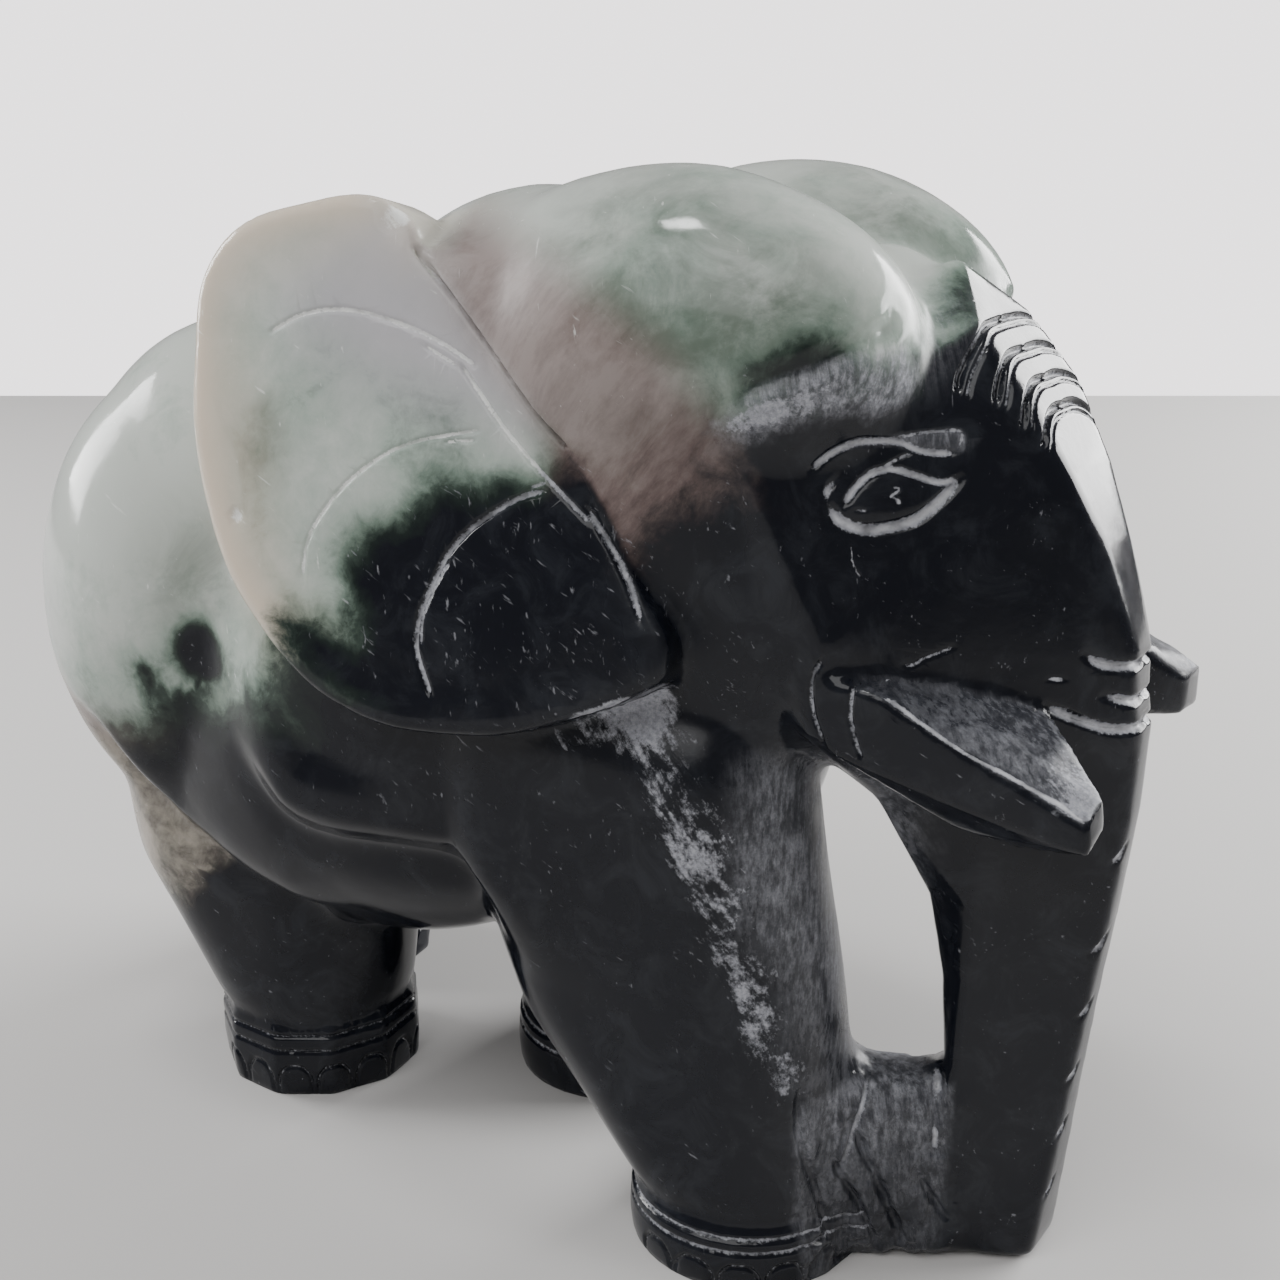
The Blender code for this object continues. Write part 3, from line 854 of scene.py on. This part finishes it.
def cream(skin):
    outline = curve_through(EAR_OUTLINE, 4, closed=True)
    flat, height, _ = skin.view("ear", RIGHT)
    rim = np.zeros(len(flat))
    near = np.flatnonzero((height > -8) & (height < 2) & (np.abs(flat) < 26).all(1))
    depth = inside_depth(flat[near], outline)
    back = ease(-flat[near, 0], 2, 14) + 0.5 * ease(flat[near, 1], 14, 20)
    edge = -np.abs(depth)
    rim[near] = (0.45 * ease(edge, -8, 0) + 0.45 * ease(edge, -2.5, 0)) * np.clip(back, 0, 1)
    low = area(skin, "ear", [(-21, 8), (-15, 6), (-12, -3), (-14, -11), (-18, -6)], 4, (RIGHT,))
    return rim + 0.2 * low + 0.6 * hind_leg_back(skin.points)


def violet(skin):
    ear_top = area(skin, "ear", [(-13, 14), (-4, 22), (4, 16), (11, 6), (5, 5), (-6, 8)], 5, (RIGHT,))
    return ear_top + spots(
        skin.points, (0.7, (-48, -18, 52), (14, 16, 18)), (0.5, (-50, 12, 60), (18, 20, 20)),
    )


def chalk(skin):
    """Surfaces that the wheel left dry and white in blotches, and a painted sheen on the band under each
    dome: 1 is solid chalky white.
    """
    points = skin.points
    leg_streak = area(skin, "side", [
        (15.5, 55), (21.4, 55), (25.0, 49), (27, 44.6), (28.4, 40.6), (29.6, 36), (30.9, 30.6),
        (32.2, 26.1), (33.4, 20.6), (31.6, 17.5), (28.9, 22), (26.6, 27.4), (24.6, 32.2),
        (22.8, 36.3), (21.3, 40.8), (19.3, 45),
    ], 3.0, BOTH)
    value = 0.62 * leg_streak * (1 - on_ear(skin, RIGHT)) * (1 - on_ear(skin, LEFT))
    # Painted sheen: the band under each dome is painted white where it catches the light
    painted_sheen_band = area(skin, "face", [
        (-14.3, 8.2), (-12.6, 9.4), (-10.2, 10.1), (-8, 10.6), (-6.3, 10.6),
        (-7.5, 9.0), (-9.8, 8.1), (-12, 7.6), (-13.6, 7.6),
    ], 0.6, BOTH)
    value += 0.85 * painted_sheen_band
    ear_corner = area(skin, "ear", [
        (8, -13), (14, -12), (20, -8), (21.5, -11.5), (17, -15), (9, -17),
    ], 2.5, (RIGHT,))
    value += 0.35 * ear_corner
    under_ear = area(skin, "side", [
        (7, 50.5), (14, 52), (19, 56), (22, 55), (19, 49), (12, 48),
    ], 1.6, (RIGHT,))
    value += 0.42 * under_ear * (1 - on_ear(skin, RIGHT))
    value += tusk_tops(skin) * np.interp(points[:, 0], (38, 49, 53, 55), (0.05, 0.2, 0.7, 1.2))
    for place, size, _ in CHIPS:
        value += 1.1 * spot(points, place, (size * 1.3, size * 1.3, size * 1.3))
    return value


def tusk_tops(skin):
    """One on the sloping tops of both tusks."""
    tops = (37, 6, 46), (57, 19.5, 59), 0.6
    value = block(skin.points * MIRROR, *tops) + block(skin.points, *tops)
    return value * ease(skin.normals[:, 2], 0.4, 0.65)


def brushed(skin):
    """Surfaces that were ground but never polished, with fine strokes all one way; under the domes the
    strokes are also a painted sheen.
    """
    points = skin.points
    # The band under each dome: ground strokes that are also painted white as a sheen
    brushed_and_sheen_band = area(skin, "face", [
        (-14.4, 8.4), (-12.3, 10.3), (-8.8, 11.6), (-4.9, 12.7), (-2.1, 13.4), (-0.2, 13.4),
        (1.1, 11.2), (-1.3, 9.0), (-4.7, 8.8), (-8.6, 8.3), (-12.2, 7.4), (-13.5, 7.4),
    ], 0.7, BOTH)
    value = 0.9 * brushed_and_sheen_band
    eyelid = area(skin, "face", [
        (-5, 6.2), (-1, 6.9), (2, 7.2), (4.5, 7.1), (4.2, 5.6), (1.3, 5.9), (-2, 6.5),
    ], 0.3, BOTH)
    value += 0.5 * eyelid
    x, _, z = points.T
    edge = np.interp(z, (18, 26.4, 31.4, 37, 42, 49), (32.7, 32, 30.1, 28.4, 27.8, 27.4))
    leg_front = ease(x - edge + 2.4 * (cloud(points, 3) - 0.5), -1.6, 1.4)
    value += 0.55 * leg_front * block(points, (20, -24, 18), (38, 0, 48), 2.5)
    value += block(points, (32, -17, -5), (42, 17, 17.5), 0.5) * np.interp(z, (4, 10, 14), (0.16, 0.3, 0.5))
    value += tusk_tops(skin) * np.interp(points[:, 0], (38, 50, 55), (0.15, 0.35, 0.8))
    return value + 0.35 * (spot(points, (36, -8, 83), (6, 8, 8)) + spot(points, (36, 8, 83), (6, 8, 8)))


def scuff(skin):
    """Where short fine scratches are thick."""
    low_ear = area(skin, "ear", [
        (-8, -12), (2, -4), (12, 0), (20, -6), (22, -12), (12, -19), (-2, -18),
    ], 3, (RIGHT,))
    return 0.2 + 1.1 * low_ear + spots(
        skin.points,
        (0.5, (0, -25, 42), (26, 14, 9)), (0.6, (20, -22, 60), (16, 12, 22)),
        (0.5, (45, -6, 50), (12, 16, 14)), (0.5, (30, -16, 30), (12, 12, 26)),
    )


def groove(skin):
    """One at the middle of each cut line, falling evenly to zero a little outside it."""
    value = np.zeros(len(skin.points))
    for cut in cuts():
        wide = cut._replace(width=cut.width * 1.3)
        for near, profile, ends in cut_profile(skin, wide):
            value[near] = np.maximum(value[near], profile * ends * cut.chalk)
    return value


def node(tree, kind, settings=None, **inputs):
    """A node with its settings, and its inputs set or linked by name."""
    made = tree.nodes.new("ShaderNode" + kind)
    for name, value in (settings or {}).items():
        setattr(made, name, value)
    for name, value in inputs.items():
        put(tree, made.inputs[name.replace("_", " ")], value)
    return made


def put(tree, socket, value):
    if isinstance(value, bpy.types.NodeSocket):
        tree.links.new(value, socket)
    else:
        socket.default_value = value


def noise(tree, place, size, detail=4.0, rough=0.55, distort=0.0, stretch=None, turn=(0, 0, 0)):
    """Cloudy values with features about size metres across, drawn out where stretch says."""
    if stretch:
        place = node(tree, "Mapping", Vector=place, Rotation=turn).outputs["Vector"]
        place = node(tree, "Mapping", Vector=place, Scale=stretch).outputs["Vector"]
    made = node(
        tree, "TexNoise", Vector=place, Scale=1 / size, Detail=detail, Roughness=rough, Distortion=distort,
    )
    return made.outputs["Fac"]


def ramp(tree, value, stops):
    """A colour for each level of the value."""
    made = node(tree, "ValToRGB", Fac=value)
    band = made.color_ramp
    while len(band.elements) < len(stops):
        band.elements.new(0.5)
    for element, (level, colour) in zip(band.elements, stops):
        element.position = level
        element.color = (*colour, 1)
    return made.outputs["Color"]


def levels(tree, value, low, high, out_low=0.0, out_high=1.0):
    """The value eased from one pair of levels to another."""
    made = node(tree, "MapRange", {"interpolation_type": "SMOOTHSTEP"}, Value=value)
    for name, level in (("From Min", low), ("From Max", high), ("To Min", out_low), ("To Max", out_high)):
        made.inputs[name].default_value = level
    return made.outputs["Result"]


def combine(tree, operation, first, *others):
    """Values added, multiplied or compared in turn."""
    for other in others:
        made = node(tree, "Math", {"operation": operation})
        put(tree, made.inputs[0], first)
        put(tree, made.inputs[1], other)
        first = made.outputs[0]
    return first


def plus(tree, *values):
    return combine(tree, "ADD", *values)


def times(tree, *values):
    return combine(tree, "MULTIPLY", *values)


def swing(tree, value, amount):
    """A cloudy value brought to lie evenly about zero."""
    return times(tree, combine(tree, "SUBTRACT", value, 0.5), amount)


def tint(tree, share, base, over):
    made = node(tree, "Mix", {"data_type": "RGBA"})
    put(tree, made.inputs[0], share)
    put(tree, made.inputs[6], base)
    put(tree, made.inputs[7], over if isinstance(over, bpy.types.NodeSocket) else (*over, 1))
    return made.outputs[2]


BLACK = (0.0045, 0.0055, 0.009)


def stone_colour(tree, place, field):
    """Black, dark green, celadon, then pale grey, with cloudy edges between them."""
    drift = plus(
        tree, swing(tree, noise(tree, place, 0.012, 6, 0.6, 0.5), 0.8),
        swing(tree, noise(tree, place, 0.0028, 6, 0.7, 0.4), 0.45),
    )
    tone = plus(tree, field["pale"], drift)
    stone = ramp(tree, tone, [
        (0.22, BLACK), (0.38, (0.011, 0.017, 0.015)), (0.50, (0.038, 0.056, 0.045)),
        (0.62, (0.15, 0.20, 0.165)), (0.76, (0.32, 0.38, 0.335)), (0.98, (0.47, 0.50, 0.465)),
    ])
    depths = levels(tree, noise(tree, place, 0.0045, 7, 0.7, 0.8), 0.45, 0.70, 0.0, 0.55)
    part = times(tree, depths, levels(tree, tone, 0.2, 0.5, 1.0, 0.0))
    stone = tint(tree, part, stone, (0.022, 0.025, 0.031))
    light = levels(tree, tone, 0.42, 0.72)
    part = times(tree, field["violet"], light, 0.85)
    stone = tint(tree, part, stone, (0.40, 0.385, 0.41))
    mottle = levels(tree, noise(tree, place, 0.0075, 6, 0.66, 0.5), 0.36, 0.64, 0.3, 1.0)
    part = times(tree, field["moss"], mottle, light, 0.85)
    stone = tint(tree, part, stone, (0.088, 0.118, 0.09))
    part = times(tree, field["cream"], light)
    stone = tint(tree, part, stone, (0.60, 0.515, 0.42))
    streaks = noise(tree, place, 0.003, 7, 0.72, 0.3, (0.3, 1, 1), (0, 0.9, 0))
    streaks = plus(tree, streaks, swing(tree, tone, 0.35))
    brown = ramp(tree, streaks, [
        (0.28, (0.03, 0.017, 0.017)), (0.50, (0.14, 0.10, 0.093)), (0.72, (0.23, 0.185, 0.175)),
    ])
    # Brown streaks; on the back of the hind legs this brown is partly a painted reddish reflection
    part = times(tree, field["mauve"], levels(tree, tone, 0.10, 0.42), 0.9)
    return tint(tree, part, stone, brown)


def dry_marks(tree, place, field):
    """White where the wheel was drawn along, in the cut lines, and in fine scratches, with a painted sheen
    under the domes and a painted highlight along the right tusk's edge.
    """
    grain = plus(
        tree, times(tree, noise(tree, place, 0.0032, 8, 0.72, 0.4), 0.3),
        times(tree, noise(tree, place, 0.0008, 6, 0.8), 0.3),
        times(tree, noise(tree, place, 0.0009, 5, 0.65, 0.2, (1, 1, 0.16), (0, 0.71, 0)), 0.4),
    )
    dry = plus(
        tree, grain, swing(tree, field["chalk"], 0.34), swing(tree, noise(tree, place, 0.006, 3, 0.6), 0.2),
    )
    dry = times(tree, levels(tree, dry, 0.50, 0.62), levels(tree, field["chalk"], 0.02, 0.2))
    powder = noise(tree, place, 0.0004, 4, 0.8)
    line = plus(tree, field["groove"], swing(tree, powder, 0.7))
    lips = times(tree, levels(tree, line, 0.36, 0.56), levels(tree, line, 0.80, 1.05, 1.0, 0.6))
    lips = times(tree, lips, levels(tree, noise(tree, place, 0.0022, 3), 0.3, 0.6, 0.35, 1.0))
    masks = []
    for turn in ((0.5, 0.3, 0.8), (0.2, 1.1, 0.3)):
        strokes = noise(tree, place, 0.00042, 3, 0.5, 0.0, (1, 1, 0.10), turn)
        masks.append(plus(tree, strokes, times(tree, field["scuff"], 0.06)))
    clusters = swing(tree, noise(tree, place, 0.005, 4, 0.6), 0.35)
    scratches = levels(tree, plus(tree, combine(tree, "MAXIMUM", *masks), clusters), 0.72, 0.84, 0.0, 0.5)
    # Fine white strokes on ground surfaces; under the domes they are a painted sheen
    strokes = noise(tree, place, 0.0006, 6, 0.7, 0.0, (1, 1, 0.12), (0.3, 0.35, 0))
    strokes = plus(tree, strokes, swing(tree, noise(tree, place, 0.004, 6, 0.65), 0.7))
    strokes = times(tree, levels(tree, strokes, 0.34, 0.72, 0.25, 1.25), field["brushed"])
    white = combine(tree, "MAXIMUM", dry, lips, scratches, strokes)
    return white, grain, powder


def jade_material():
    """Clouded grey and green jade over blue-black, polished, with dry white tool marks and some painted
    sheen and highlights.
    """
    material = bpy.data.materials.new("jade")
    material.use_nodes = True
    tree = material.node_tree
    surface = tree.nodes["Principled BSDF"]
    place = node(tree, "TexCoord").outputs["Object"]
    names = ("pale", "moss", "mauve", "cream", "violet", "chalk", "brushed", "scuff", "groove")
    field = {name: node(tree, "Attribute", {"attribute_name": name}).outputs["Fac"] for name in names}
    stone = stone_colour(tree, place, field)
    white, grain, powder = dry_marks(tree, place, field)
    chalky = ramp(tree, powder, [(0.3, (0.19, 0.195, 0.22)), (0.7, (0.48, 0.49, 0.53))])
    chalky = tint(tree, levels(tree, field["groove"], 0.5, 0.9), chalky, (0.66, 0.67, 0.70))
    chalky = tint(tree, levels(tree, field["pale"], 0.55, 0.75), chalky, (0.78, 0.79, 0.77))
    colour = tint(tree, times(tree, white, 0.85), stone, chalky)
    tree.links.new(colour, surface.inputs["Base Color"])
    # Polish
    haze = levels(tree, noise(tree, place, 0.008, 4), 0.35, 0.7, 0.10, 0.22)
    dull = combine(tree, "MAXIMUM", field["chalk"], field["brushed"], times(tree, field["mauve"], 0.8))
    rough = plus(tree, haze, times(tree, white, 0.4), times(tree, dull, 0.25))
    tree.links.new(combine(tree, "MINIMUM", rough, 0.7), surface.inputs["Roughness"])
    # Relief too fine for the mesh
    unevenness = times(tree, noise(tree, place, 0.0015, 4, 0.6), 0.16)
    dryness = times(tree, grain, field["chalk"], 1.6)
    relief = plus(tree, unevenness, dryness)
    bump = node(tree, "Bump", Height=relief, Strength=0.35, Distance=0.0003)
    tree.links.new(bump.outputs["Normal"], surface.inputs["Normal"])
    surface.inputs["IOR"].default_value = 1.6
    surface.inputs["Specular IOR Level"].default_value = 0.2
    surface.inputs["Subsurface Weight"].default_value = 0.15
    surface.inputs["Subsurface Radius"].default_value = (1.0, 1.0, 0.8)
    surface.inputs["Subsurface Scale"].default_value = 0.003
    return material


deselect()
body = fuse(torso() + neck() + head() + trunk() + legs() + tail(), BLEND_VOXEL, BLEND_STEPS)
crisp = head() + trunk() + [ear(RIGHT), ear(LEFT), tusk(RIGHT), tusk(LEFT)] + [foot(name) for name in FEET]
elephant = fuse([body] + crisp, FINE_VOXEL, FINE_STEPS)
flatten_under(elephant, SOLE_CUT)
elephant.name = "carved_elephant"
elephant.data.transform(Matrix.Translation((0, 0, -SOLE_CUT)))
carve(elephant)
flatten_under(elephant, SOLE_SKIM)
thin_out(elephant, TRIANGLES)
paint(elephant)
elephant.data.transform(PLACE)
elephant.data.shade_smooth()
elephant.data.materials.clear()
elephant.data.materials.append(jade_material())
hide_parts("elephant")
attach(elephant, "root")


VIEW_AZIMUTH = math.radians(34.0)
VIEW_DROP = math.radians(17.9)
LENS_ANGLE = math.radians(40.9)
EYE = Vector((92.0, -129.0, 100.0))
TABLE_WIDTH, TABLE_DEPTH = 2.4, 1.2
TABLE_BEHIND = 0.42


def floor():
    """A pale table top whose far edge lies square behind the elephant."""
    bpy.ops.mesh.primitive_plane_add(size=1)
    plane = bpy.context.object
    plane.name = "floor"
    plane.data.transform(
        Matrix.Rotation(VIEW_AZIMUTH, 4, "Z") @ Matrix.Translation((0, TABLE_BEHIND - TABLE_DEPTH / 2, 0))
        @ Matrix.Diagonal((TABLE_WIDTH, TABLE_DEPTH, 1, 1))
    )
    material = bpy.data.materials.new("pale_floor")
    material.use_nodes = True
    material.node_tree.nodes["Principled BSDF"].inputs["Base Color"].default_value = (0.52, 0.51, 0.50, 1)
    material.node_tree.nodes["Principled BSDF"].inputs["Roughness"].default_value = 0.75
    plane.data.materials.append(material)


def softbox(name, azimuth, elevation, distance, size, power, colour=(1, 1, 1)):
    """A soft lamp at a bearing from the middle of the stone, facing it."""
    middle = Vector((0, 0, 0.06))
    turn, tilt = math.radians(azimuth), math.radians(elevation)
    away = Vector((math.cos(turn) * math.cos(tilt), math.sin(turn) * math.cos(tilt), math.sin(tilt)))
    light = bpy.data.lights.new(name, "AREA")
    light.shape = "RECTANGLE"
    light.size, light.size_y = size
    light.energy = power
    light.color = colour
    lamp = bpy.data.objects.new(name, light)
    lamp.location = middle + away * distance
    lamp.rotation_euler = away.to_track_quat("Z", "Y").to_euler()
    bpy.context.collection.objects.link(lamp)


def camera():
    lens = bpy.data.cameras.new("camera")
    lens.angle = LENS_ANGLE
    lens.clip_start = 0.01
    eye = bpy.data.objects.new("camera", lens)
    back = Vector((
        math.sin(VIEW_AZIMUTH) * math.cos(VIEW_DROP), -math.cos(VIEW_AZIMUTH) * math.cos(VIEW_DROP),
        math.sin(VIEW_DROP),
    ))
    eye.location = PLACE @ EYE
    eye.rotation_euler = back.to_track_quat("Z", "Y").to_euler()
    bpy.context.collection.objects.link(eye)
    bpy.context.scene.camera = eye


def studio():
    """A pale room: bright where it is seen, dimmer as light, so that the polish keeps its contrast."""
    world = bpy.data.worlds.new("studio")
    world.use_nodes = True
    tree = world.node_tree
    background = tree.nodes["Background"]
    background.inputs["Color"].default_value = (0.84, 0.81, 0.82, 1)
    seen = node(tree, "LightPath").outputs["Is Camera Ray"]
    tree.links.new(levels(tree, seen, 0, 1, 0.28, 3.0), background.inputs["Strength"])
    bpy.context.scene.world = world


floor()
camera()
studio()
softbox("window_behind", 58, 18, 0.62, (0.55, 0.3), 9.0)
softbox("window_left", -166, 17, 0.6, (0.24, 0.26), 3.6)
softbox("ceiling", -145, 76, 0.7, (0.07, 0.13), 1.3)
softbox("near_lamp", -88, 50, 0.75, (0.6, 0.6), 4.2)
